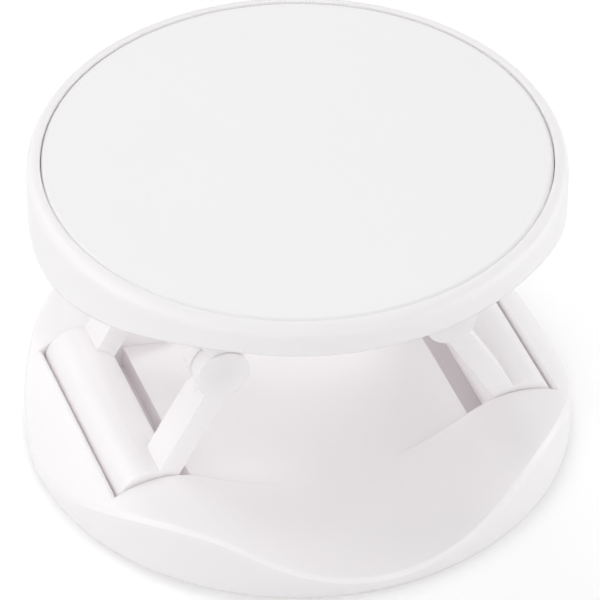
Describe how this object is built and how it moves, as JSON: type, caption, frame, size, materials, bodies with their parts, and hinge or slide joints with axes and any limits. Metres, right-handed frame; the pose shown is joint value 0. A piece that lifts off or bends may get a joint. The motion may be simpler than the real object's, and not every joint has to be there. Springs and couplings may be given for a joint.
{
  "type": "phone grip stand",
  "caption": "Round pop-up phone grip: troughed adhesive base, folding hinged legs and a rimmed top plate with a flush inlay disc. It also props a phone up as a stand.",
  "frame": {"origin": "middle of the adhesive pad's underside, where the phone's back lies", "axes": "+Z away from the phone, +X from the left leg to the right leg, +Y along the hinge pins from front to rear"},
  "size_m": [0.0418, 0.0418, 0.0258],
  "materials": {
    "white_plastic": "satin moulded white",
    "inlay": "smooth matt white",
    "hinge_pin": "ground steel",
    "adhesive_pad": "tacky foam",
    "adhesive_film": "clear adhesive film"
  },
  "bodies": {
    "base": {"adhesive_pad": "adhesive_pad", "base": "white_plastic", "left_base_pin": "hinge_pin", "right_base_pin": "hinge_pin"},
    "left_lower": {"left_lower_leg": "white_plastic", "left_knee_pin_front": "hinge_pin", "left_knee_pin_rear": "hinge_pin"},
    "left_upper": {"left_upper_leg": "white_plastic"},
    "top": {"top_plate": "white_plastic", "inlay_film": "adhesive_film", "inlay_disc": "inlay", "left_top_pin": "hinge_pin", "right_top_pin": "hinge_pin"},
    "right_lower": {"right_lower_leg": "white_plastic", "right_knee_pin_front": "hinge_pin", "right_knee_pin_rear": "hinge_pin"},
    "right_upper": {"right_upper_leg": "white_plastic"}
  },
  "joints": [
    {"name": "left_base_hinge", "type": "hinge", "parent": "base", "child": "left_lower", "pos_m": [-0.0149, 0, 0.004], "axis": [0, 1, 0], "range_deg": [0, 49.8]},
    {"name": "left_knee", "type": "hinge", "parent": "left_lower", "child": "left_upper", "pos_m": [-0.00901, 0, 0.01421], "axis": [0, 1, 0], "range_deg": [-108.4, 0]},
    {"name": "left_top_hinge", "type": "hinge", "parent": "left_upper", "child": "top", "pos_m": [-0.01207, 0, 0.02261], "axis": [0, 1, 0], "range_deg": [0, 58.6]},
    {"name": "right_base_hinge", "type": "hinge", "parent": "base", "child": "right_lower", "pos_m": [0.0149, 0, 0.004], "axis": [0, 1, 0], "range_deg": [-49.9, 0]},
    {"name": "right_knee", "type": "hinge", "parent": "right_lower", "child": "right_upper", "pos_m": [0.00901, 0, 0.01421], "axis": [0, 1, 0], "range_deg": [0, 108.4]}
  ],
  "couplings": [
    {"joint": "left_knee", "follows": "left_base_hinge", "ratio": -2.1749},
    {"joint": "left_top_hinge", "follows": "left_base_hinge", "ratio": 1.1749},
    {"joint": "right_base_hinge", "follows": "left_base_hinge", "ratio": -1},
    {"joint": "right_knee", "follows": "left_base_hinge", "ratio": 2.1749}
  ]
}
